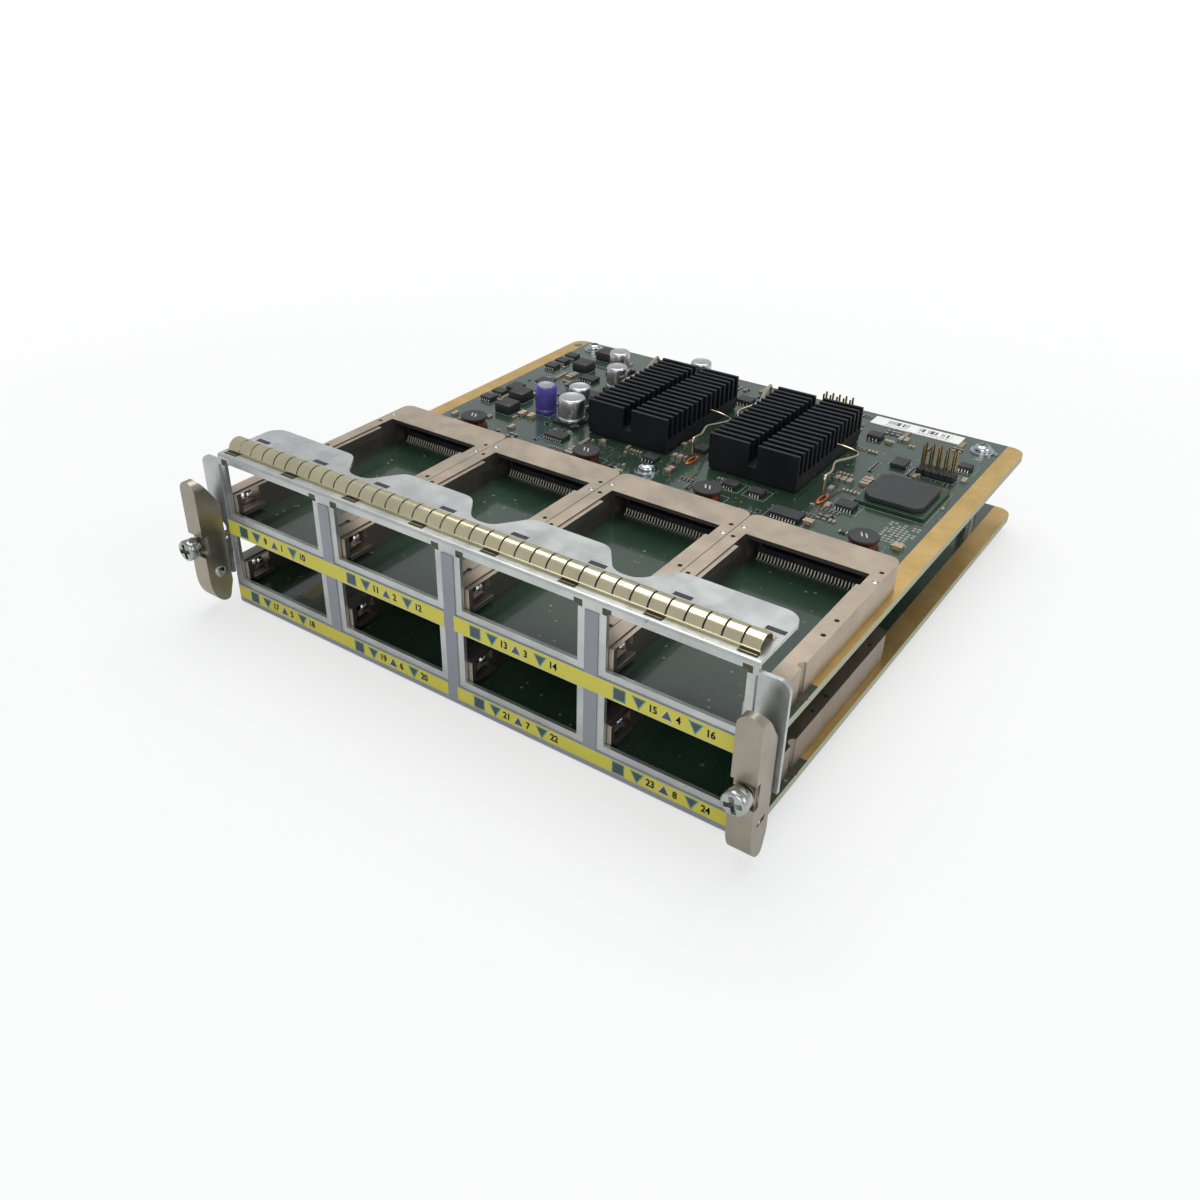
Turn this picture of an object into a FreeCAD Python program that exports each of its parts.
import FreeCAD, Part
import os
import re
import Sketcher

# A switch line card: two stacked circuit boards behind one steel faceplate with eight module bays.
# Millimetres. X runs to the right along the face, Y to the back, Z up.
# The origin lies on the table, under the middle of the card's outer box.

# Driving sizes
SIZES = {
    # Module bays, four columns in two rows
    "bay_pitch": 46.0,
    "rail_pair": 8.4,
    "lower_bay_floor": 9.5,
    "lower_bay_height": 15.8,
    "upper_bay_height": 17.1,
    "row_spacing": 23.6,
    # Folded faceplate
    "plate_gauge": 1.2,
    "ear_reach": 6.4,
    "ear_drop": 2.3,
    "ear_corner_radius": 3.0,
    "lip_height": 2.6,
    "flange_depth": 23.4,
    "tab_corner_radius": 5.0,
    "fold_radius": 1.0,
    "foot_depth": 10.0,
    "notch_mouth": 21.0,
    "notch_floor": 7.0,
    "notch_depth": 9.6,
    "notch_corner_radius": 5.5,
    "relief_width": 2.6,
    "relief_drop": 0.8,
    "relief_rise": 1.2,
    # Slots in the top flange for the gasket's tabs
    "slot_length": 5.2,
    "slot_width": 1.8,
    "slot_lap": 0.2,
    # Fingered spring gasket on the top flange
    "gasket_reach": 6.5,
    "gasket_radius": 3.5,
    "gasket_gauge": 0.3,
    "gasket_inset": 1.5,
    "finger_gap": 0.5,
    "gasket_rim": 0.5,
    "gasket_tab_length": 4.4,
    "gasket_tab_gauge": 0.5,
    "gasket_tab_drop": 1.8,
    "gasket_tab_root": 0.1,
    # Printed overlay on the face
    "overlay_gauge": 0.3,
    "overlay_border": 2.2,
    "overlay_sill": 0.4,
    "overlay_drop": 3.6,
    "overlay_clearance": 0.7,
    # Circuit boards
    "board_drop": 2.7,
    "board_gauge": 2.4,
    "board_reach": 197.0,
    "left_edge_inset": 1.2,
    "right_edge_inset": 4.6,
    "board_corner_radius": 5.0,
    "board_gap": 0.4,
    "tail_notch_depth": 5.6,
    "tail_notch_gap": 1.4,
    "locating_hole_radius": 1.8,
    # Cast module cages
    "cage_gap": 0.3,
    "cage_joint": 0.2,
    "cage_height": 9.3,
    "cage_reach": 84.0,
    "cage_corner_radius": 3.0,
    "recess_reach": 71.3,
    "guide_reach": 64.5,
    "right_guide_width": 1.0,
    "left_guide_width": 1.4,
    "left_guide_height": 3.0,
    "left_guide_drop": 0.5,
    "cage_roof": 1.3,
    "cage_rear_wall": 2.0,
    "chamber_inset": 1.0,
    "screw_groove_radius": 1.5,
    "screw_groove_reach": 22.5,
    "cage_hole_radius": 0.7,
    "cage_hole_depth": 1.6,
    "cage_hole_inset": 1.9,
    "right_rear_hole": 73.8,
    "right_middle_hole": 45.0,
    "right_front_hole": 37.0,
    "left_rear_hole": 67.9,
    "left_front_hole": 42.8,
    "tail_relief_reach": 6.4,
    "tail_relief_inset": 1.4,
    "tail_relief_height": 8.0,
    "window_reach": 3.4,
    "window_length": 6.8,
    "window_sill": 4.3,
    "window_height": 3.8,
    "spring_radius": 0.9,
    "spring_inset": 1.2,
    # Module connectors under the cage bridges
    "connector_gap": 0.3,
    "connector_end_gap": 2.2,
    "connector_shift": -0.6,
    "connector_depth": 5.2,
    "connector_height": 6.8,
    "mouth_height": 1.7,
    "mouth_depth": 3.6,
    "mouth_inset": 1.4,
    "mouth_lift": 3.4,
    "foot_row_inset": 0.85,
    "foot_row_reach": 1.9,
    "foot_row_bar": 0.4,
    "foot_row_gauge": 0.25,
    "connector_chamfer": 1.3,
    # Finned heat sinks on the two switch chips
    "sink_width": 32.6,
    "sink_length": 50.6,
    "sink_base": 2.6,
    "sink_top": 13.0,
    "fin_gauge": 1.15,
    "channel_width": 3.1,
    "chip_height": 2.4,
    "chip_width": 31.0,
    "clip_wire_radius": 0.55,
    "clip_lift": 0.6,
    "clip_elbow_inset": 5.0,
    "clip_waist_inset": 3.0,
    "clip_waist_reach": 14.0,
    "clip_waist_rise": 0.8,
    "clip_neck_inset": 0.8,
    "clip_neck_rise": 3.0,
    "anchor_length": 8.0,
    "anchor_width": 2.4,
    "anchor_gauge": 0.5,
    # Ejector levers and their pivots
    "lever_edge_inset": 0.8,
    "lever_width": 6.6,
    "lever_gauge": 1.0,
    "lever_stand": 10.0,
    "lever_drop": 6.8,
    "lever_crown_radius": 2.8,
    "lever_back_drop": 8.6,
    "lever_shoulder_reach": 5.6,
    "lever_shoulder_radius": 3.4,
    "lever_rear_gap": 1.7,
    "lever_heel": 9.0,
    "lever_tip": 3.3,
    "lever_tip_reach": 6.0,
    "lever_toe_reach": 3.4,
    "lever_tail_radius": 1.4,
    "lever_chin": 8.8,
    "lever_fold_radius": 0.9,
    # Window in the lever's front and the inner saddle that carries the captive screw
    "screw_window_bottom": 20.6,
    "screw_window_top": 27.8,
    "screw_window_depth": 1.9,
    "saddle_bottom": 19.4,
    "saddle_top": 29.0,
    "saddle_setback": 1.2,
    "saddle_gauge": 1.0,
    "pivot_height": 14.3,
    "pivot_reach": 5.8,
    "pivot_radius": 1.2,
    "pivot_clearance": 0.08,
    "pin_head_radius": 1.9,
    "pin_head_height": 0.5,
    "pin_head_gap": 0.15,
    "lug_gauge": 1.5,
    "lug_radius": 2.6,
    "lug_tip_radius": 2.3,
    "tail_clearance": 0.5,
    "tail_slot_top": 19.0,
    # Captive screws
    "screw_height": 24.2,
    "screw_head_radius": 3.5,
    "screw_head_height": 2.4,
    "screw_neck": 2.2,
    "screw_radius": 1.5,
    "screw_reach": 1.4,
    "screw_dome": 0.8,
    "screw_dome_break": 0.25,
    "recess_length": 4.2,
    "recess_width": 1.0,
    "recess_depth": 1.3,
    "retainer_radius": 2.5,
    "retainer_lip": 0.5,
    "retainer_barrel": 2.1,
    "retainer_length": 2.6,
    "retainer_clearance": 0.08,
    "screw_washer_radius": 3.0,
    "screw_washer_gauge": 0.5,
    "ear_slot_width": 4.2,
    "ear_slot_bottom": 22.0,
    "ear_slot_top": 28.6,
    "ear_slot_end_radius": 1.9,
    # Posts, spacers and screws
    "post_radius": 2.6,
    "spacer_radius": 2.5,
    "spacer_reach": 6.0,
    "washer_radius": 4.1,
    "washer_gauge": 0.7,
    "board_screw_radius": 2.9,
    "board_screw_height": 2.0,
    "board_recess_length": 3.3,
    "board_recess_depth": 0.9,
    # Connectors between the boards and to the chassis
    "host_width": 62.0,
    "host_depth": 11.0,
    "host_offset": 44.0,
    "host_inset": 3.0,
    "host_wall": 1.6,
    "stack_width": 46.0,
    "stack_depth": 7.0,
    "stack_reach": 148.0,
    "stack_plug_height": 9.0,
    # Parts on the upper board
    "can_radius": 4.0,
    "can_height": 9.6,
    "large_can_radius": 5.0,
    "large_can_height": 9.8,
    "can_base_gauge": 1.0,
    "can_groove": 0.35,
    "spool_radius": 4.75,
    "spool_height": 4.6,
    "spool_flange": 1.0,
    "spool_core_radius": 3.2,
    "power_block_side": 7.0,
    "power_block_height": 3.4,
    "array_width": 23.0,
    "array_gauge": 1.2,
    "array_cap": 19.5,
    "array_cap_height": 1.8,
    "array_cap_corner": 2.4,
    "header_pitch": 2.54,
    "header_base": 2.5,
    "header_pin_height": 10.5,
    "header_pin_side": 0.64,
    "small_chip_height": 1.6,
    "chip_capacitor_height": 1.5,
    "label_width": 33.0,
    "label_depth": 7.0,
    "label_gauge": 0.3,
    # How far a cut runs past the face that it opens
    "overcut": 1.0,
    # The pitch and the board's reach that the spots below were laid out for
    "layout_pitch": 46.0,
    "layout_reach": 197.0,
}

# Where each part stands on the upper board: from the card's middle, and back from its face.
# A wider or deeper card spreads these places out.
SPOTS = {
    "purple_can": (-62.0, 126.0),
    "front_large_can": (-48.5, 123.5),
    "pink_can": (-52.6, 134.2),
    "middle_can": (-52.6, 159.2),
    "rear_can": (-60.7, 173.4),
    "far_can": (-29.0, 183.0),
    "spool_one": (-74.3, 99.0),
    "spool_two": (-24.9, 99.0),
    "spool_three": (22.2, 99.0),
    "spool_four": (75.0, 99.0),
    "block_one": (-74.0, 118.0),
    "block_two": (-77.0, 130.0),
    "block_three": (-75.0, 169.0),
    "block_four": (-74.5, 185.0),
    "array_chip": (72.3, 136.5),
    "front_header": (75.4, 159.0),
    "rear_header": (29.7, 180.0),
    "label": (56.5, 191.0),
    "left_sink": (-21.9, 119.2),
    "right_sink": (27.1, 119.2),
    "left_anchor": (3.8, 121.0),
    "right_anchor": (52.0, 121.0),
    "rear_left_post": (-84.5, 190.0),
    "rear_right_post": (81.5, 187.0),
    "middle_post": (-4.5, 105.0),
    "locating_hole": (-93.4, 191.0),
}

# Flat chips: place, and width and depth of the moulding
CHIPS = {
    "chip_a": (60.5, 120.5, 6.0, 5.0),
    "chip_b": (81.5, 170.0, 4.4, 3.6),
    "chip_c": (48.0, 104.0, 10.0, 5.4),
    "chip_d": (24.0, 112.0, 5.0, 4.0),
    "chip_e": (33.5, 112.0, 5.0, 4.0),
    "chip_f": (-86.5, 122.0, 5.0, 4.0),
    "chip_g": (-86.5, 129.0, 5.0, 4.0),
    "chip_h": (-86.5, 163.0, 5.0, 4.0),
    "chip_i": (-86.5, 170.0, 5.0, 4.0),
    "chip_j": (-86.5, 177.0, 5.0, 4.0),
    "chip_k": (-66.0, 151.0, 6.0, 6.0),
    "chip_l": (-44.5, 109.0, 8.0, 5.0),
}

# Ceramic chip capacitors: place, width and depth
CERAMICS = {
    "ceramic_a": (-66.5, 117.5, 2.2, 3.4),
    "ceramic_b": (-62.5, 117.5, 2.2, 3.4),
    "ceramic_c": (55.5, 103.5, 3.2, 2.4),
    "ceramic_d": (83.5, 105.0, 3.4, 2.6),
    "ceramic_e": (-67.4, 180.0, 3.0, 3.0),
}

for name, (place_x, place_y) in SPOTS.items():
    SIZES[name + "_x"] = place_x
    SIZES[name + "_y"] = place_y
for name, (place_x, place_y, wide, deep) in {**CHIPS, **CERAMICS}.items():
    SIZES[name + "_x"] = place_x
    SIZES[name + "_y"] = place_y
    SIZES[name + "_wide"] = wide
    SIZES[name + "_deep"] = deep

COLUMNS = 4
SLOTS = 8
FINGERS = 36
FINGERS_PER_SLOT = 5
FINS = 16
CLIP_GAP = 9
FEET = 38
GASKET_FLATS = 10
HEADER_COLUMNS = 5
HEADER_ROWS = 2

# Places worked out from the driving sizes
PLACES = {
    "bay_width": "bay_pitch - rail_pair",
    "plate_width": "%d * bay_pitch + 2 * ear_reach" % COLUMNS,
    "flange_width": "2 * (lever_inner - tail_clearance)",
    "gasket_length": "flange_width - 2 * gasket_inset",
    "finger_pitch": "gasket_length / %d" % FINGERS,
    "slot_pitch": "finger_pitch * %d" % FINGERS_PER_SLOT,
    "connector_width": "bay_width - 2 * connector_end_gap",
    "foot_row_length": "connector_width - 2 * foot_row_inset",
    "board_left": "plate_width / 2 - left_edge_inset",
    "board_right": "plate_width / 2 - right_edge_inset",
    "tail_notch_inset": "lever_inner - tail_notch_gap",
    "screw_stand": "lever_stand + screw_neck + screw_head_height",
    "face": "screw_stand - (board_reach + screw_stand) / 2",
    "plate_back": "face + plate_gauge",
    "lower_board_top": "lower_bay_floor - board_drop",
    "upper_board_top": "lower_board_top + row_spacing",
    "upper_bay_floor": "lower_bay_floor + row_spacing",
    "upper_bay_top": "upper_bay_floor + upper_bay_height",
    "flange_top": "upper_bay_top + lip_height",
    "board_front": "plate_back + board_gap",
    "board_rear": "face + board_reach",
    "ear_height": "flange_top - ear_drop",
    "overlay_height": "flange_top - overlay_drop",
    "lever_front": "face - lever_stand",
    "lever_outer": "plate_width / 2 - lever_edge_inset",
    "lever_inner": "lever_outer - lever_width",
    "lever_middle": "lever_outer - lever_width / 2",
    "lever_top": "flange_top - lever_drop",
    "lever_back": "lever_top - lever_back_drop",
    "pivot_y": "face - pivot_reach",
    "gasket_middle": "face + gasket_reach",
    "sink_foot": "upper_board_top + chip_height",
    "bore_radius": "pivot_radius + pivot_clearance",
}

doc = FreeCAD.newDocument("switch_line_card")
sheet = doc.addObject("Spreadsheet::Sheet", "Sizes")
for row, (name, number) in enumerate(SIZES.items(), start=1):
    sheet.set("A%d" % row, name)
    sheet.set("B%d" % row, str(number))
    sheet.setAlias("B%d" % row, name)
doc.recompute()

WORD = re.compile(r"[a-z][a-z0-9_]*")
SUB_PARTS = []


def spelled(expression, owner="Sizes."):
    """Write an expression out in the sheet's own cells."""
    def replace(match):
        word = match.group(0)
        if word in PLACES:
            return "(" + spelled(PLACES[word], owner) + ")"
        return owner + word if word in SIZES else word
    return WORD.sub(replace, expression)


def size(expression):
    """The number that an expression of the driving sizes comes to."""
    return float(sheet.evalExpression(spelled(expression, "")))


def bind(item, setting, expression):
    item.setExpression(setting, spelled(expression))


def keep(item, label):
    """Name a finished sub-part, which gives its file its name."""
    item.Label = label
    SUB_PARTS.append(item)
    return item


# Sketches and features of a body

def new_part(label):
    """A body that goes into a group, or is kept on its own by new_body."""
    piece = doc.addObject("PartDesign::Body", label + "_body")
    piece.Label = label
    return piece


def new_body(label):
    return keep(new_part(label), label)


def sketch_on(piece, name, role, offset="0"):
    """A sketch on one origin plane of its body, moved along that plane's normal."""
    plane = next(item for item in piece.Origin.OriginFeatures if item.Role == role)
    sketch = piece.newObject("Sketcher::SketchObject", piece.Label + "_" + name)
    sketch.AttachmentSupport = [(plane, "")]
    sketch.MapMode = "FlatFace"
    bind(sketch, "AttachmentOffset.Base.z", offset)
    return sketch


def fix_point(sketch, geometry, point, across, along):
    """Hold one point of a sketch at a place given by expressions."""
    first, second = sketch.addConstraint([
        Sketcher.Constraint("DistanceX", -1, 1, geometry, point, size(across)),
        Sketcher.Constraint("DistanceY", -1, 1, geometry, point, size(along)),
    ])
    bind(sketch, "Constraints[%d]" % first, across)
    bind(sketch, "Constraints[%d]" % second, along)


def outline(sketch, corners):
    """A closed outline of straight lines through corners given by expressions."""
    places = [FreeCAD.Vector(size(across), size(along), 0) for across, along in corners]
    lines = [Part.LineSegment(place, places[(step + 1) % len(places)])
             for step, place in enumerate(places)]
    indices = list(sketch.addGeometry(lines, False))
    joins = [Sketcher.Constraint("Coincident", index, 2, indices[(step + 1) % len(indices)], 1)
             for step, index in enumerate(indices)]
    sketch.addConstraint(joins)
    for index, (across, along) in zip(indices, corners):
        fix_point(sketch, index, 1, across, along)


def rectangle(sketch, left, low, right, high):
    outline(sketch, [(left, low), (right, low), (right, high), (left, high)])


def circle(sketch, across, along, radius):
    middle = FreeCAD.Vector(size(across), size(along), 0)
    index = sketch.addGeometry(Part.Circle(middle, FreeCAD.Vector(0, 0, 1), size(radius)), False)
    held = sketch.addConstraint(Sketcher.Constraint("Radius", index, size(radius)))
    bind(sketch, "Constraints[%d]" % held, radius)
    fix_point(sketch, index, 3, across, along)


def pad(piece, sketch, length, backwards=False):
    feature = piece.newObject("PartDesign::Pad", sketch.Name + "_pad")
    feature.Profile = sketch
    bind(feature, "Length", length)
    feature.Reversed = backwards
    doc.recompute()
    return feature


def pocket(piece, sketch, depth, backwards=False):
    before = piece.Shape.Volume
    feature = piece.newObject("PartDesign::Pocket", sketch.Name + "_pocket")
    feature.Profile = sketch
    bind(feature, "Length", depth)
    feature.Reversed = backwards
    doc.recompute()
    if piece.Shape.Volume >= before:
        raise RuntimeError(sketch.Name + " cuts nothing")
    return feature


def row_of(piece, feature, sketch, count, length, along="H_Axis"):
    """Repeat a feature along its sketch."""
    pattern = piece.newObject("PartDesign::LinearPattern", feature.Name + "_row")
    pattern.Originals = [feature]
    pattern.Direction = (sketch, [along])
    pattern.Occurrences = count
    bind(pattern, "Length", length)
    piece.Tip = pattern
    doc.recompute()
    return pattern


def edges_along(shape, axis, places, slack=0.02):
    """Names of the straight edges along one axis whose two other coordinates are listed."""
    others = [index for index in range(3) if index != axis]
    names = []
    for number, edge in enumerate(shape.Edges, start=1):
        ends = [tuple(vertex.Point) for vertex in edge.Vertexes]
        if len(ends) != 2 or edge.Curve.TypeId != "Part::GeomLine":
            continue
        if any(abs(ends[0][other] - ends[1][other]) > slack for other in others):
            continue
        for place in places:
            if all(abs(ends[0][other] - value) < slack for other, value in zip(others, place)):
                names.append("Edge%d" % number)
                break
    return names


def round_edges(piece, name, axis, places, radius):
    """Round the straight edges along one axis that pass the given places."""
    base = piece.Tip
    names = edges_along(base.Shape, axis, [(size(one), size(two)) for one, two in places])
    if not names:
        raise RuntimeError(piece.Label + " " + name + " finds no edge")
    feature = piece.newObject("PartDesign::Fillet", piece.Label + "_" + name)
    feature.Base = (base, names)
    bind(feature, "Radius", radius)
    doc.recompute()
    if "Invalid" in feature.State:
        raise RuntimeError(feature.Name + " failed")
    return feature


# Plain solids

def block(name, corner, extent):
    solid = doc.addObject("Part::Box", name)
    for axis, place in zip("xyz", corner):
        bind(solid, "Placement.Base." + axis, place)
    for side, length in zip(("Length", "Width", "Height"), extent):
        bind(solid, side, length)
    return solid


TURNS = {
    "x": FreeCAD.Rotation(FreeCAD.Vector(0, 1, 0), 90),
    "y": FreeCAD.Rotation(FreeCAD.Vector(1, 0, 0), -90),
    "z": FreeCAD.Rotation(),
}


def rod(name, foot, radius, length, axis="z"):
    """A cylinder that runs from its foot along the positive axis."""
    solid = doc.addObject("Part::Cylinder", name)
    solid.Placement.Rotation = TURNS[axis]
    for letter, place in zip("xyz", foot):
        bind(solid, "Placement.Base." + letter, place)
    bind(solid, "Radius", radius)
    bind(solid, "Height", length)
    return solid


def joined(name, solids):
    whole = doc.addObject("Part::MultiFuse", name)
    whole.Shapes = solids
    return whole


def cut_from(name, base, tool):
    rest = doc.addObject("Part::Cut", name)
    rest.Base = base
    rest.Tool = tool
    return rest


def group(label, solids):
    """Like pieces that share one node, each a solid of its own."""
    together = doc.addObject("Part::Compound", label + "_group")
    together.Links = solids
    return keep(together, label)


def column_x(column):
    return "(%s * bay_pitch)" % (column - (COLUMNS - 1) / 2)


def on_board(name):
    """The place of a named spot, as expressions for X and Y."""
    return ("(%s_x * bay_pitch / layout_pitch)" % name,
            "(face + %s_y * board_reach / layout_reach)" % name)


# Faceplate, overlay and gasket

def make_faceplate():
    piece = new_body("faceplate")
    wall = sketch_on(piece, "wall", "XZ_Plane", "-(face)")
    outline(wall, [
        ("-plate_width / 2", "0"), ("plate_width / 2", "0"),
        ("plate_width / 2", "ear_height"), ("flange_width / 2", "ear_height"),
        ("flange_width / 2", "flange_top"), ("-flange_width / 2", "flange_top"),
        ("-flange_width / 2", "ear_height"), ("-plate_width / 2", "ear_height"),
    ])
    pad(piece, wall, "plate_gauge", backwards=True)

    flange = sketch_on(piece, "flange", "XY_Plane", "flange_top - plate_gauge")
    rectangle(flange, "-flange_width / 2", "face", "flange_width / 2", "face + flange_depth")
    pad(piece, flange, "plate_gauge")
    foot = sketch_on(piece, "foot", "XY_Plane")
    rectangle(foot, "-flange_width / 2", "face", "flange_width / 2", "face + foot_depth")
    pad(piece, foot, "plate_gauge")

    round_edges(piece, "top_fold", 0, [("face", "flange_top")], "fold_radius")
    round_edges(piece, "foot_fold", 0, [("face", "0")], "fold_radius")

    cut_bays(piece)
    cut_tab_notches(piece)
    cut_gasket_slots(piece)
    cut_ears(piece)
    add_pivot_lugs(piece)


def cut_bays(piece):
    """Two windows for each column; the upper one has relief notches beside the fold."""
    left = column_x(0) + " - bay_width / 2"
    right = column_x(0) + " + bay_width / 2"
    relief_low = "upper_bay_top - relief_drop"
    relief_high = "upper_bay_top + relief_rise"
    windows = sketch_on(piece, "bays", "XZ_Plane", "-(face)")
    rectangle(windows, left, "lower_bay_floor", right, "lower_bay_floor + lower_bay_height")
    outline(windows, [
        (left, "upper_bay_floor"), (right, "upper_bay_floor"), (right, relief_low),
        (right + " + relief_width / 2", relief_low), (right + " + relief_width / 2", relief_high),
        (right + " - relief_width / 2", relief_high), (right + " - relief_width / 2", "upper_bay_top"),
        (left + " + relief_width / 2", "upper_bay_top"), (left + " + relief_width / 2", relief_high),
        (left + " - relief_width / 2", relief_high), (left + " - relief_width / 2", relief_low),
        (left, relief_low),
    ])
    cut = pocket(piece, windows, "plate_gauge")
    row_of(piece, cut, windows, COLUMNS, "bay_pitch * %d" % (COLUMNS - 1))


def cut_tab_notches(piece):
    """Wide rounded notches leave one tab of the flange over each column."""
    rear = "face + flange_depth"
    middle = "-bay_pitch"
    notch = sketch_on(piece, "notch", "XY_Plane", "flange_top")
    outline(notch, [
        (middle + " - notch_mouth / 2", rear),
        (middle + " - notch_floor / 2", rear + " - notch_depth"),
        (middle + " + notch_floor / 2", rear + " - notch_depth"),
        (middle + " + notch_mouth / 2", rear),
    ])
    cut = pocket(piece, notch, "plate_gauge")
    row_of(piece, cut, notch, COLUMNS - 1, "bay_pitch * %d" % (COLUMNS - 2))
    mouths = []
    floors = []
    for step in range(COLUMNS - 1):
        centre = "(%d * bay_pitch)" % (step - (COLUMNS - 2) // 2)
        for side in ("-", "+"):
            mouths.append(("%s %s notch_mouth / 2" % (centre, side), rear))
            floors.append(("%s %s notch_floor / 2" % (centre, side), rear + " - notch_depth"))
    ends = [("-flange_width / 2", rear), ("flange_width / 2", rear)]
    round_edges(piece, "notch_floors", 2, floors, "notch_corner_radius")
    round_edges(piece, "tab_corners", 2, mouths + ends, "tab_corner_radius")


def cut_gasket_slots(piece):
    """Two rows of slots that the gasket's tabs hook into."""
    left = "-slot_pitch * %s - slot_length / 2" % ((SLOTS - 1) / 2)
    slots = sketch_on(piece, "slots", "XY_Plane", "flange_top")
    for low in ("gasket_middle - gasket_radius + slot_lap - slot_width",
                "gasket_middle + gasket_radius - slot_lap"):
        rectangle(slots, left, low, left + " + slot_length", low + " + slot_width")
    cut = pocket(piece, slots, "plate_gauge")
    row_of(piece, cut, slots, SLOTS, "slot_pitch * %d" % (SLOTS - 1))


def cut_ears(piece):
    """Slots for the lever tails and the captive screws, and the ears' round corners."""
    cuts = sketch_on(piece, "ear_cuts", "XZ_Plane", "-(face)")
    for side in ("-", ""):
        inner = side + "(lever_inner - tail_clearance)"
        inner_end = side + "(lever_inner + lever_gauge + tail_clearance)"
        outer = side + "(lever_outer - lever_gauge - tail_clearance)"
        outer_end = side + "(plate_width / 2 + overcut)"
        rectangle(cuts, inner, "-overcut", inner_end, "tail_slot_top")
        rectangle(cuts, outer, "-overcut", outer_end, "tail_slot_top")
        rectangle(cuts, side + "(lever_middle - ear_slot_width / 2)", "ear_slot_bottom",
                  side + "(lever_middle + ear_slot_width / 2)", "ear_slot_top")
    pocket(piece, cuts, "plate_gauge")
    corners = []
    slot_ends = []
    for side in ("-", ""):
        corners.append((side + "(plate_width / 2)", "ear_height"))
        for height in ("ear_slot_bottom", "ear_slot_top"):
            slot_ends.append((side + "(lever_middle - ear_slot_width / 2)", height))
            slot_ends.append((side + "(lever_middle + ear_slot_width / 2)", height))
    round_edges(piece, "ear_corners", 1, corners, "ear_corner_radius")
    round_edges(piece, "ear_slot_ends", 1, slot_ends, "ear_slot_end_radius")


def add_pivot_lugs(piece):
    """A rounded lug stands out of each ear and carries the lever's pin."""
    for name, middle in (("right_lug", "lever_middle"), ("left_lug", "-(lever_middle)")):
        lug = sketch_on(piece, name, "YZ_Plane", middle + " - lug_gauge / 2")
        rectangle(lug, "pivot_y - lug_radius", "pivot_height - lug_radius",
                  "face", "pivot_height + lug_radius")
        pad(piece, lug, "lug_gauge")
        bore = sketch_on(piece, name + "_bore", "YZ_Plane", middle + " + lug_gauge / 2")
        circle(bore, "pivot_y", "pivot_height", "bore_radius")
        pocket(piece, bore, "lug_gauge")
    tips = [("pivot_y - lug_radius", "pivot_height - lug_radius"),
            ("pivot_y - lug_radius", "pivot_height + lug_radius")]
    round_edges(piece, "lug_tips", 0, tips, "lug_tip_radius")


def make_overlay():
    """A thin printed sheet whose windows leave a bare border round every bay."""
    piece = new_body("faceplate_overlay")
    half = "lever_inner - overlay_clearance"
    base = sketch_on(piece, "sheet", "XZ_Plane", "-(face)")
    rectangle(base, "-(%s)" % half, "plate_gauge", half, "overlay_height")
    pad(piece, base, "overlay_gauge")
    left = column_x(0) + " - bay_width / 2 - overlay_border"
    right = column_x(0) + " + bay_width / 2 + overlay_border"
    windows = sketch_on(piece, "windows", "XZ_Plane", "-(face - overlay_gauge)")
    rectangle(windows, left, "lower_bay_floor - overlay_border",
              right, "lower_bay_floor + lower_bay_height + overlay_sill")
    rectangle(windows, left, "upper_bay_floor - overlay_border", right, "overlay_height + overcut")
    cut = pocket(piece, windows, "overlay_gauge")
    row_of(piece, cut, windows, COLUMNS, "bay_pitch * %d" % (COLUMNS - 1))


def make_gasket():
    """A half tube of thin spring strip, slit into fingers, with tabs through the flange."""
    piece = new_body("spring_gasket")
    start = "-gasket_length / 2"
    arch = sketch_on(piece, "arch", "YZ_Plane", start)
    angles = [180 / GASKET_FLATS * step for step in range(GASKET_FLATS + 1)]
    outer = [arch_corner("gasket_radius", angle) for angle in angles]
    inner = [arch_corner("(gasket_radius - gasket_gauge)", angle) for angle in reversed(angles)]
    outline(arch, outer + inner)
    pad(piece, arch, "gasket_length")

    slit = sketch_on(piece, "slit", "XY_Plane", "flange_top + gasket_radius")
    first = start + " + finger_pitch - finger_gap / 2"
    rectangle(slit, first, "gasket_middle - gasket_radius + gasket_rim",
              first + " + finger_gap", "gasket_middle + gasket_radius - gasket_rim")
    cut = pocket(piece, slit, "gasket_radius")
    row_of(piece, cut, slit, FINGERS - 1, "finger_pitch * %d" % (FINGERS - 2))

    tabs = sketch_on(piece, "tabs", "XY_Plane", "flange_top + gasket_gauge")
    left = "-slot_pitch * %s - gasket_tab_length / 2" % ((SLOTS - 1) / 2)
    right = left + " + gasket_tab_length"
    front = "gasket_middle - gasket_radius"
    rear = "gasket_middle + gasket_radius"
    rectangle(tabs, left, front + " - gasket_tab_gauge", right, front + " + gasket_tab_root")
    rectangle(tabs, left, rear + " - gasket_tab_root", right, rear + " + gasket_tab_gauge")
    hooks = pad(piece, tabs, "gasket_tab_drop", backwards=True)
    row_of(piece, hooks, tabs, SLOTS, "slot_pitch * %d" % (SLOTS - 1))


def arch_corner(radius, angle):
    """A point on the gasket's arch, at an angle in degrees from its rear edge."""
    return ("gasket_middle + %s * cos(%s)" % (radius, angle),
            "flange_top + %s * sin(%s)" % (radius, angle))


# Boards, posts and screws

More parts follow.
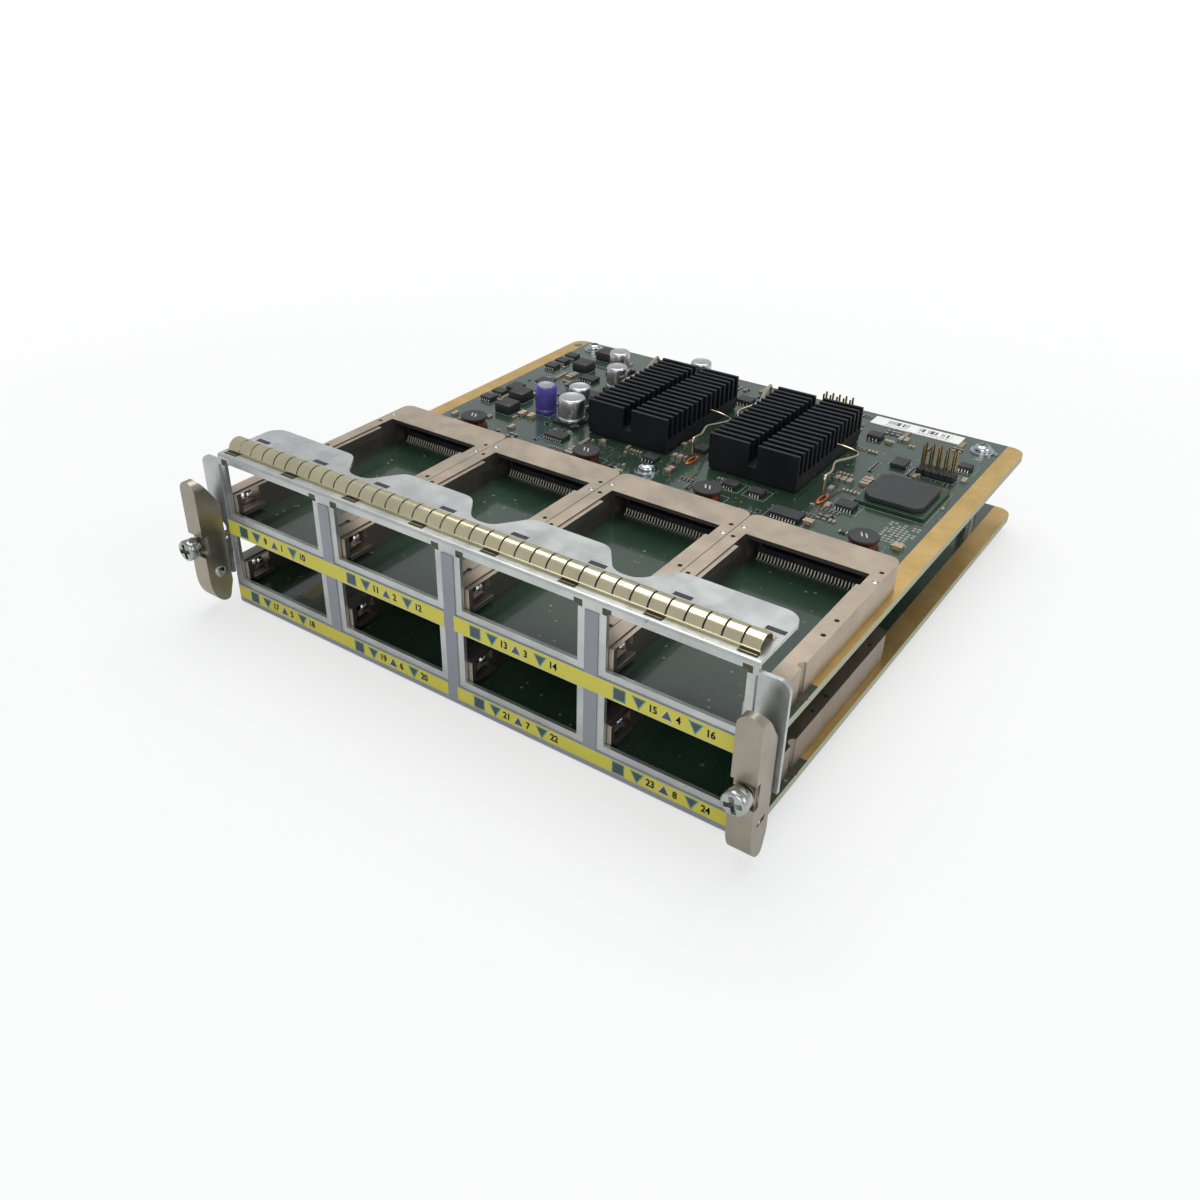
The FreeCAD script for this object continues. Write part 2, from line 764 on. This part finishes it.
def make_board(label, top):
    """A board with rounded rear corners and front corners cut back for the lever tails."""
    piece = new_body(label)
    plan = sketch_on(piece, "plan", "XY_Plane", top + " - board_gauge")
    notch = "face + tail_notch_depth"
    outline(plan, [
        ("-tail_notch_inset", "board_front"), ("tail_notch_inset", "board_front"),
        ("tail_notch_inset", notch), ("board_right", notch),
        ("board_right", "board_rear"), ("-board_left", "board_rear"),
        ("-board_left", notch), ("-tail_notch_inset", notch),
    ])
    circle(plan, *on_board("locating_hole"), "locating_hole_radius")
    pad(piece, plan, "board_gauge")
    corners = [("board_right", "board_rear"), ("-board_left", "board_rear")]
    round_edges(piece, "corners", 2, corners, "board_corner_radius")


POSTS = ("rear_left_post", "rear_right_post", "middle_post")


def make_posts():
    gap = "row_spacing - board_gauge"
    posts = [rod(name, (*on_board(name), "lower_board_top"), "post_radius", gap) for name in POSTS]
    group("board_posts", posts)
    washers = []
    heads = []
    for name in POSTS:
        x, y = on_board(name)
        washers.append(rod(name + "_washer", (x, y, "upper_board_top"), "washer_radius", "washer_gauge"))
        heads.append(make_screw_head(name, x, y))
    group("board_washers", washers)
    group("board_screws", heads)
    spacers = [rod("front_spacer_%d" % column,
                   (column_x(column), "face + spacer_reach", "plate_gauge"),
                   "spacer_radius", "lower_board_top - board_gauge - plate_gauge")
               for column in range(COLUMNS)]
    group("front_spacers", spacers)


def make_screw_head(name, x, y):
    """A pan head with a cross recess."""
    foot = "upper_board_top + washer_gauge"
    head = rod(name + "_head", (x, y, foot), "board_screw_radius", "board_screw_height")
    slots = []
    for turn, (wide, deep) in enumerate((("board_recess_length", "recess_width"),
                                         ("recess_width", "board_recess_length"))):
        slots.append(block("%s_slot_%d" % (name, turn),
                           ("%s - %s / 2" % (x, wide), "%s - %s / 2" % (y, deep),
                            foot + " + board_screw_height - board_recess_depth"),
                           (wide, deep, "recess_depth")))
    return cut_from(name + "_screw", head, joined(name + "_cross", slots))


# Module cages and connectors

ROWS = (("lower", "lower_board_top"), ("upper", "upper_board_top"))


def make_cage(row, top, column):
    """A cast U frame: two rails with guides, and a bridge over the module connector."""
    piece = new_body("%s_cage_%d" % (row, column + 1))
    bind(piece, "Placement.Base.x", column_x(column))
    bind(piece, "Placement.Base.y", "face")
    bind(piece, "Placement.Base.z", top)
    side = "(bay_pitch - cage_joint) / 2"
    front = "plate_gauge + cage_gap"
    plan = sketch_on(piece, "plan", "XY_Plane")
    outline(plan, [
        ("-" + side, front), ("-bay_width / 2", front), ("-bay_width / 2", "recess_reach"),
        ("bay_width / 2", "recess_reach"), ("bay_width / 2", "guide_reach"),
        ("bay_width / 2 - right_guide_width", "guide_reach"),
        ("bay_width / 2 - right_guide_width", front), (side, front),
        (side, "cage_reach"), ("-" + side, "cage_reach"),
    ])
    pad(piece, plan, "cage_height")

    guide = sketch_on(piece, "left_guide", "XY_Plane", "cage_height - left_guide_drop")
    rectangle(guide, "-bay_width / 2 - cage_joint", front,
              "-bay_width / 2 + left_guide_width", "guide_reach")
    pad(piece, guide, "left_guide_height", backwards=True)

    chamber = sketch_on(piece, "chamber", "XY_Plane")
    rectangle(chamber, "-bay_width / 2 + chamber_inset", "recess_reach - overcut",
              "bay_width / 2 - chamber_inset", "cage_reach - cage_rear_wall")
    pocket(piece, chamber, "cage_height - cage_roof", backwards=True)

    grooves = sketch_on(piece, "screw_grooves", "XY_Plane", "cage_height")
    for sign in ("-", ""):
        circle(grooves, sign + "(bay_pitch / 2)", "screw_groove_reach", "screw_groove_radius")
    pocket(piece, grooves, "cage_height")

    holes = sketch_on(piece, "rail_holes", "XY_Plane", "cage_height")
    for reach in ("right_rear_hole", "right_middle_hole", "right_front_hole"):
        circle(holes, "(bay_pitch / 2 - cage_hole_inset)", reach, "cage_hole_radius")
    for reach in ("left_rear_hole", "left_front_hole"):
        circle(holes, "-(bay_pitch / 2 - cage_hole_inset)", reach, "cage_hole_radius")
    pocket(piece, holes, "cage_hole_depth")

    window = sketch_on(piece, "spring_window", "YZ_Plane", "-bay_width / 2")
    rectangle(window, "window_reach", "window_sill", "window_reach + window_length",
              "window_sill + window_height")
    pocket(piece, window, "(bay_pitch - bay_width) / 2")
    corners = [("-" + side, "cage_reach"), (side, "cage_reach")]
    round_edges(piece, "corners", 2, corners, "cage_corner_radius")
    if row == "lower":
        cut_tail_relief(piece, side)


def cut_tail_relief(piece, side):
    """Cut back both front corners, so that a lever's tail can swing past the outer cages."""
    relief = sketch_on(piece, "tail_relief", "XY_Plane")
    inner = side + " - tail_relief_inset"
    rectangle(relief, "-(%s) - overcut" % side, "0", "-(%s)" % inner, "tail_relief_reach")
    rectangle(relief, inner, "0", side + " + overcut", "tail_relief_reach")
    pocket(piece, relief, "tail_relief_height", backwards=True)


def make_cage_springs():
    """A sprung roller stands in each cage's side window and grips the module."""
    rollers = []
    for row, top in ROWS:
        for column in range(COLUMNS):
            x = column_x(column) + " - bay_width / 2 - spring_inset"
            foot = (x, "face + window_reach + window_length / 2", top + " + window_sill")
            rollers.append(rod("%s_roller_%d" % (row, column), foot, "spring_radius", "window_height"))
    group("cage_springs", rollers)


def make_module_connector(row, top, column):
    """A black edge connector with its mouth towards the bay."""
    piece = new_body("%s_module_connector_%d" % (row, column + 1))
    bind(piece, "Placement.Base.x", column_x(column) + " + connector_shift")
    bind(piece, "Placement.Base.y", "face + cage_reach - cage_rear_wall - connector_gap - connector_depth")
    bind(piece, "Placement.Base.z", top)
    side = sketch_on(piece, "side", "YZ_Plane", "-connector_width / 2")
    outline(side, [
        ("0", "0"), ("connector_depth", "0"), ("connector_depth", "connector_height"),
        ("connector_chamfer", "connector_height"), ("0", "connector_height - connector_chamfer"),
    ])
    pad(piece, side, "connector_width")
    mouth = sketch_on(piece, "mouth", "XZ_Plane")
    rectangle(mouth, "-connector_width / 2 + mouth_inset", "mouth_lift",
              "connector_width / 2 - mouth_inset", "mouth_lift + mouth_height")
    pocket(piece, mouth, "mouth_depth")


def make_solder_feet():
    """A row of flat contact feet in front of every module connector, joined under its shell."""
    rows = []
    for row, top in ROWS:
        for column in range(COLUMNS):
            piece = new_part("%s_feet_%d" % (row, column + 1))
            bind(piece, "Placement.Base.x", column_x(column) + " + connector_shift - foot_row_length / 2")
            bind(piece, "Placement.Base.y",
                 "face + cage_reach - cage_rear_wall - connector_gap - connector_depth - foot_row_reach")
            bind(piece, "Placement.Base.z", top)
            bar = sketch_on(piece, "bar", "XY_Plane")
            rectangle(bar, "0", "foot_row_reach - foot_row_bar", "foot_row_length", "foot_row_reach")
            pad(piece, bar, "foot_row_gauge")
            pitch = "foot_row_length / %s" % (FEET - 0.5)
            foot = sketch_on(piece, "foot", "XY_Plane")
            rectangle(foot, "0", "0", pitch + " / 2", "foot_row_reach")
            feet = pad(piece, foot, "foot_row_gauge")
            row_of(piece, feet, foot, FEET, "%s * %d" % (pitch, FEET - 1))
            rows.append(piece)
    group("connector_feet", rows)


# Heat sinks, their chips and clips

def make_heat_sink(side):
    """A base with sixteen cross fins and one channel along the middle."""
    piece = new_body("heat_sink_" + side)
    x, y = on_board(side + "_sink")
    bind(piece, "Placement.Base.x", x)
    bind(piece, "Placement.Base.y", y)
    bind(piece, "Placement.Base.z", "sink_foot")
    base = sketch_on(piece, "base", "XY_Plane")
    rectangle(base, "-sink_width / 2", "0", "sink_width / 2", "sink_length")
    pad(piece, base, "sink_base")
    height = "sink_top - chip_height"
    fin = sketch_on(piece, "fin", "XY_Plane")
    step = "(sink_length - fin_gauge) / %d" % (FINS - 1)
    rectangle(fin, "-sink_width / 2", "0", "sink_width / 2", "fin_gauge")
    fins = pad(piece, fin, height)
    row_of(piece, fins, fin, FINS, "(%s) * %d" % (step, FINS - 1), along="V_Axis")
    channel = sketch_on(piece, "channel", "XZ_Plane", "-sink_length - overcut")
    rectangle(channel, "-channel_width / 2", "sink_base", "channel_width / 2", height + " + overcut")
    pocket(piece, channel, "sink_length + 2 * overcut", backwards=True)


def make_switch_chip(side):
    x, y = on_board(side + "_sink")
    chip = block("switch_chip_%s_block" % side,
                 (x + " - chip_width / 2", y + " + (sink_length - chip_width) / 2", "upper_board_top"),
                 ("chip_width", "chip_width", "chip_height"))
    keep(chip, "switch_chip_" + side)


def make_clip(side):
    """A sprung wire through one gap between the fins, hooked on an anchor at each end."""
    centre_x, front_y = (size(place) for place in on_board(side + "_sink"))
    anchor_x, anchor_y = (size(place) for place in on_board(side + "_anchor"))
    step = size("(sink_length - fin_gauge) / %d" % (FINS - 1))
    middle_y = front_y + step * (CLIP_GAP + 0.5) + size("fin_gauge / 2")
    reach = anchor_x - centre_x
    back = middle_y - anchor_y
    low = size("upper_board_top + anchor_gauge + clip_wire_radius")
    high = size("sink_foot + sink_base + clip_wire_radius + clip_lift")
    half = [
        (reach - size("clip_elbow_inset"), 0, high),
        (reach - size("clip_waist_inset"), size("clip_waist_reach") - back, high + size("clip_waist_rise")),
        (reach - size("clip_neck_inset"), -back, high + size("clip_neck_rise")),
        (reach, -back, low),
    ]
    points = [FreeCAD.Vector(centre_x - x, middle_y - y, z) for x, y, z in reversed(half)]
    points += [FreeCAD.Vector(centre_x + x, middle_y + y, z) for x, y, z in half]
    spans = []
    for first, last in zip(points, points[1:]):
        run = last - first
        spans.append(Part.makeCylinder(size("clip_wire_radius"), run.Length, first, run))
    knees = [Part.makeSphere(size("clip_wire_radius"), point) for point in points]
    wire = doc.addObject("Part::Feature", "heat_sink_clip_%s_wire" % side)
    wire.Shape = spans[0].multiFuse(spans[1:] + knees).removeSplitter()
    keep(wire, "heat_sink_clip_" + side)
    return (centre_x - reach, middle_y + back)


def make_anchors(far_ends):
    """Small oval loops on the board that hold the clip's ends."""
    places = [tuple(size(place) for place in on_board(side + "_anchor")) for side in ("left", "right")]
    loops = []
    for number, (x, y) in enumerate(places + far_ends):
        half = size("(anchor_length - anchor_width) / 2")
        radius = size("anchor_width / 2")
        bottom = size("upper_board_top")
        gauge = size("anchor_gauge")
        bar = Part.makeBox(2 * radius, 2 * half, gauge, FreeCAD.Vector(x - radius, y - half, bottom))
        ends = [Part.makeCylinder(radius, gauge, FreeCAD.Vector(x, y + shift, bottom))
                for shift in (-half, half)]
        loop = doc.addObject("Part::Feature", "clip_anchor_%d" % number)
        loop.Shape = bar.multiFuse(ends).removeSplitter()
        loops.append(loop)
    group("clip_anchors", loops)


# Ejector levers, pins and captive screws

def make_lever(side, sign):
    """A folded channel: a round topped front, two side plates that end in the tail, and a saddle."""
    piece = new_body("lever_" + side)
    start = "lever_inner" if sign > 0 else "-(lever_outer)"
    end = "lever_outer" if sign > 0 else "-lever_inner"
    middle = "lever_middle" if sign > 0 else "-(lever_middle)"
    plate = sketch_on(piece, "plate", "XZ_Plane", "-(lever_front)")
    rectangle(plate, start, "lever_chin", end, "lever_top")
    pad(piece, plate, "lever_gauge", backwards=True)
    crown = [(start, "lever_top"), (end, "lever_top")]
    round_edges(piece, "crown", 1, crown, "lever_crown_radius")
    rear = "face - lever_rear_gap"
    for name, place in (("near", start), ("far", end + " - lever_gauge")):
        profile = sketch_on(piece, name + "_side", "YZ_Plane", place)
        outline(profile, [
            ("lever_front", "lever_chin"), ("face - lever_tip_reach", "lever_tip"),
            ("face - lever_toe_reach", "lever_tip"), (rear, "lever_heel"), (rear, "lever_back"),
            ("face - lever_shoulder_reach", "lever_top - lever_crown_radius"),
            ("lever_front", "lever_top - lever_crown_radius"),
        ])
        pad(piece, profile, "lever_gauge")
    tail = [("face - lever_tip_reach", "lever_tip"), ("face - lever_toe_reach", "lever_tip"),
            (rear, "lever_heel")]
    round_edges(piece, "tail", 0, tail, "lever_tail_radius")
    shoulder = [("face - lever_shoulder_reach", "lever_top - lever_crown_radius")]
    round_edges(piece, "shoulder", 0, shoulder, "lever_shoulder_radius")
    folds = [(start, "lever_front"), (end, "lever_front")]
    round_edges(piece, "folds", 2, folds, "lever_fold_radius")

    window = sketch_on(piece, "screw_window", "XZ_Plane", "-(lever_front)")
    rectangle(window, start + " - overcut", "screw_window_bottom", end + " + overcut", "screw_window_top")
    pocket(piece, window, "screw_window_depth")
    saddle = sketch_on(piece, "saddle", "XZ_Plane", "-(lever_front + saddle_setback)")
    rectangle(saddle, start + " + lever_gauge / 2", "saddle_bottom",
              end + " - lever_gauge / 2", "saddle_top")
    pad(piece, saddle, "saddle_gauge", backwards=True)
    hole = sketch_on(piece, "screw_hole", "XZ_Plane", "-(lever_front + saddle_setback)")
    circle(hole, middle, "screw_height", "retainer_barrel + retainer_clearance")
    pocket(piece, hole, "saddle_gauge")
    bore = sketch_on(piece, "pivot_bore", "YZ_Plane", end)
    circle(bore, "pivot_y", "pivot_height", "bore_radius")
    pocket(piece, bore, "lever_width")


def make_pivot_pin(side, sign):
    """A headed pin through both side plates and the lug between them."""
    reach = "(lever_width / 2 + pin_head_gap)"
    middle = "%d * (lever_middle)" % sign
    foot = (middle + " - " + reach, "pivot_y", "pivot_height")
    shank = rod("pin_shank_" + side, foot, "pivot_radius", "2 * " + reach, axis="x")
    heads = []
    for end, place in (("inner", middle + " - " + reach + " - pin_head_height"),
                       ("outer", middle + " + " + reach)):
        heads.append(rod("pin_head_%s_%s" % (side, end), (place, "pivot_y", "pivot_height"),
                         "pin_head_radius", "pin_head_height", axis="x"))
    keep(joined("lever_pivot_%s_pin" % side, [shank] + heads), "lever_pivot_" + side)


def make_screw_retainer(side, sign):
    """A lipped bush in the lever's saddle that keeps the screw captive."""
    piece = new_body("screw_retainer_" + side)
    middle = "%d * (lever_middle)" % sign
    bore = "screw_radius + retainer_clearance"
    seat = "-(lever_front + saddle_setback)"
    barrel = sketch_on(piece, "barrel", "XZ_Plane", seat)
    circle(barrel, middle, "screw_height", "retainer_barrel")
    circle(barrel, middle, "screw_height", bore)
    pad(piece, barrel, "retainer_length", backwards=True)
    lip = sketch_on(piece, "lip", "XZ_Plane", seat)
    circle(lip, middle, "screw_height", "retainer_radius")
    circle(lip, middle, "screw_height", bore)
    pad(piece, lip, "retainer_lip")


def make_screw_washer(side, sign):
    """A plain washer that stays under the screw's head."""
    piece = new_body("screw_washer_" + side)
    middle = "%d * (lever_middle)" % sign
    ring = sketch_on(piece, "ring", "XZ_Plane", "-(lever_front - screw_neck)")
    circle(ring, middle, "screw_height", "screw_washer_radius")
    circle(ring, middle, "screw_height", "screw_radius + retainer_clearance")
    pad(piece, ring, "screw_washer_gauge", backwards=True)


def make_captive_screw(side, sign):
    """A turned screw: domed head with a cross recess, and a shank that reaches through the ear."""
    piece = new_body("captive_screw_" + side)
    bind(piece, "Placement.Base.x", "%d * (lever_middle)" % sign)
    bind(piece, "Placement.Base.y", "lever_front - screw_neck - screw_head_height")
    bind(piece, "Placement.Base.z", "screw_height")
    profile = sketch_on(piece, "profile", "XY_Plane")
    outline(profile, [
        ("0", "0"), ("screw_head_radius - screw_dome", "0"),
        ("screw_head_radius - screw_dome_break", "screw_dome_break"),
        ("screw_head_radius", "screw_dome"), ("screw_head_radius", "screw_head_height"),
        ("screw_radius", "screw_head_height"), ("screw_radius", "screw_stand + screw_reach"),
        ("0", "screw_stand + screw_reach"),
    ])
    turned = piece.newObject("PartDesign::Revolution", piece.Label + "_turned")
    turned.Profile = profile
    turned.ReferenceAxis = (profile, ["V_Axis"])
    turned.Angle = 360
    doc.recompute()
    cross = sketch_on(piece, "cross", "XZ_Plane")
    outline(cross, cross_corners("recess_length / 2", "recess_width / 2"))
    pocket(piece, cross, "recess_depth")


def cross_corners(long_half, thin_half):
    """The twelve corners of a plus sign, in order round it."""
    quarters = [("", ""), ("-", ""), ("-", "-"), ("", "-")]
    corners = []
    for number, (sign_x, sign_y) in enumerate(quarters):
        wide = ("%s(%s)" % (sign_x, long_half), "%s(%s)" % (sign_y, thin_half))
        inner = ("%s(%s)" % (sign_x, thin_half), "%s(%s)" % (sign_y, thin_half))
        tall = ("%s(%s)" % (sign_x, thin_half), "%s(%s)" % (sign_y, long_half))
        corners += [wide, inner, tall] if number % 2 == 0 else [tall, inner, wide]
    return corners


# Connectors between the boards and to the chassis

def make_board_connectors():
    """Two host connectors under the rear edge, and a stacking pair between the boards."""
    underside = "lower_board_top - board_gauge"
    for side, sign in (("left", -1), ("right", 1)):
        x = "%d * host_offset - host_width / 2" % sign
        y = "board_rear - host_inset - host_depth"
        shell = block("host_shell_" + side, (x, y, "0"), ("host_width", "host_depth", underside))
        mouth = block("host_mouth_" + side, (x + " + host_wall", y + " + host_wall", "-overcut"),
                      ("host_width - 2 * host_wall", "host_depth - 2 * host_wall",
                       underside + " - host_wall + overcut"))
        keep(cut_from("host_connector_%s_shell" % side, shell, mouth), "host_connector_" + side)
    x = "-stack_width / 2"
    y = "(face + stack_reach * board_reach / layout_reach)"
    gap = "row_spacing - board_gauge"
    plug = block("stacking_plug_block", (x, y, "lower_board_top"),
                 ("stack_width", "stack_depth", "stack_plug_height"))
    keep(plug, "stacking_plug")
    socket = block("stacking_socket_block", (x, y, "lower_board_top + stack_plug_height"),
                   ("stack_width", "stack_depth", gap + " - stack_plug_height"))
    keep(socket, "stacking_socket")


# Parts on the upper board

def make_can(name, radius, height):
    """An upright can with the pinched groove that crimps its seal."""
    x, y = on_board(name)
    foot = "upper_board_top + can_base_gauge"
    lower = rod(name + "_foot", (x, y, foot), radius, "can_base_gauge")
    neck = rod(name + "_neck", (x, y, foot + " + can_base_gauge"),
               radius + " - can_groove", "can_base_gauge")
    upper = rod(name + "_wall", (x, y, foot + " + 2 * can_base_gauge"), radius,
                height + " - 3 * can_base_gauge")
    return joined(name + "_can", [lower, neck, upper])


def make_can_base(name, radius):
    x, y = on_board(name)
    return block(name + "_base", ("%s - %s" % (x, radius), "%s - %s" % (y, radius), "upper_board_top"),
                 ("2 * " + radius, "2 * " + radius, "can_base_gauge"))


def make_capacitors():
    silver = [("front_large_can", "large_can_radius", "large_can_height")]
    silver += [(name, "can_radius", "can_height")
               for name in ("middle_can", "rear_can", "far_can", "pink_can")]
    group("silver_capacitors", [make_can(*can) for can in silver])
    group("capacitor_bases", [make_can_base(name, radius) for name, radius, height in silver])
    x, y = on_board("purple_can")
    sleeve = rod("purple_can_sleeve", (x, y, "upper_board_top"), "can_radius", "can_height + can_base_gauge")
    keep(sleeve, "sleeved_capacitor")


def make_inductors():
    """Ferrite spools with a wound waist."""
    spools = []
    for name in ("spool_one", "spool_two", "spool_three", "spool_four"):
        x, y = on_board(name)
        lower = rod(name + "_lower", (x, y, "upper_board_top"), "spool_radius", "spool_flange")
        core = rod(name + "_core", (x, y, "upper_board_top"), "spool_core_radius", "spool_height")
        upper = rod(name + "_upper", (x, y, "upper_board_top + spool_height - spool_flange"),
                    "spool_radius", "spool_flange")
        spools.append(joined(name + "_ferrite", [lower, core, upper]))
    group("drum_inductors", spools)
    blocks = []
    for name in ("block_one", "block_two", "block_three", "block_four"):
        x, y = on_board(name)
        blocks.append(block(name + "_case",
                            (x + " - power_block_side / 2", y + " - power_block_side / 2", "upper_board_top"),
                            ("power_block_side", "power_block_side", "power_block_height")))
    group("power_inductors", blocks)


def make_array_chip():
    """A ball grid chip: a green carrier and a moulded cap with cut corners."""
    x, y = on_board("array_chip")
    carrier = block("array_carrier",
                    (x + " - array_width / 2", y + " - array_width / 2", "upper_board_top"),
                    ("array_width", "array_width", "array_gauge"))
    keep(carrier, "control_chip_carrier")
    piece = new_body("control_chip_cap")
    plan = sketch_on(piece, "plan", "XY_Plane", "upper_board_top + array_gauge")
    half = "array_cap / 2"
    cut = half + " - array_cap_corner"
    corners = [("-", half, "-", cut), ("-", cut, "-", half), ("+", cut, "-", half), ("+", half, "-", cut),
               ("+", half, "+", cut), ("+", cut, "+", half), ("-", cut, "+", half), ("-", half, "+", cut)]
    outline(plan, [("%s %s (%s)" % (x, sx, wide), "%s %s (%s)" % (y, sy, deep))
                   for sx, wide, sy, deep in corners])
    pad(piece, plan, "array_cap_height")


def make_headers():
    """Two dual row pin headers."""
    bases = []
    pins = []
    for name in ("front_header", "rear_header"):
        x, y = on_board(name)
        left = "%s - header_pitch * %s" % (x, HEADER_COLUMNS / 2)
        low = "%s - header_pitch * %s" % (y, HEADER_ROWS / 2)
        base = block(name + "_base", (left, low, "upper_board_top"),
                     ("header_pitch * %d" % HEADER_COLUMNS, "header_pitch * %d" % HEADER_ROWS, "header_base"))
        bases.append(base)
        for column in range(HEADER_COLUMNS):
            for line in range(HEADER_ROWS):
                pins.append(block("%s_pin_%d_%d" % (name, column, line),
                                  ("%s + header_pitch * %s - header_pin_side / 2" % (left, column + 0.5),
                                   "%s + header_pitch * %s - header_pin_side / 2" % (low, line + 0.5),
                                   "upper_board_top + header_base"),
                                  ("header_pin_side", "header_pin_side", "header_pin_height - header_base")))
    group("pin_header_bases", bases)
    group("pin_header_pins", pins)


def make_small_parts():
    chips = [flat_part(name, "small_chip_height") for name in CHIPS]
    group("small_chips", chips)
    group("ceramic_capacitors", [flat_part(name, "chip_capacitor_height") for name in CERAMICS])
    x, y = on_board("label")
    label = block("board_label_sheet",
                  (x + " - label_width / 2", y + " - label_depth / 2", "upper_board_top"),
                  ("label_width", "label_depth", "label_gauge"))
    keep(label, "blank_label")


def flat_part(name, height):
    x, y = on_board(name)
    corner = ("%s - %s_wide / 2" % (x, name), "%s - %s_deep / 2" % (y, name), "upper_board_top")
    return block(name + "_body", corner, (name + "_wide", name + "_deep", height))


def check_document():
    """Stop if any object failed or any sub-part has no sound shape."""
    doc.recompute()
    failed = [item.Name for item in doc.Objects if "Invalid" in item.State or "Error" in item.State]
    unsound = [item.Label for item in SUB_PARTS if item.Shape.isNull() or not item.Shape.isValid()]
    if failed or unsound:
        raise RuntimeError("failed: %s unsound: %s" % (failed, unsound))


def main():
    make_faceplate()
    make_overlay()
    make_gasket()
    for row, top in ROWS:
        make_board(row + "_board", top)
        for column in range(COLUMNS):
            make_cage(row, top, column)
            make_module_connector(row, top, column)
    make_cage_springs()
    make_solder_feet()
    make_posts()
    far_ends = []
    for side in ("left", "right"):
        make_switch_chip(side)
        make_heat_sink(side)
        far_ends.append(make_clip(side))
    make_anchors(far_ends)
    for side, sign in (("left", -1), ("right", 1)):
        make_lever(side, sign)
        make_pivot_pin(side, sign)
        make_screw_retainer(side, sign)
        make_screw_washer(side, sign)
        make_captive_screw(side, sign)
    make_board_connectors()
    make_capacitors()
    make_inductors()
    make_array_chip()
    make_headers()
    make_small_parts()
    check_document()
    os.makedirs("parts", exist_ok=True)
    for item in SUB_PARTS:
        item.Shape.exportStep("parts/%s.step" % item.Label)
        print(item.Label, round(item.Shape.Volume, 1), len(item.Shape.Solids))


main()
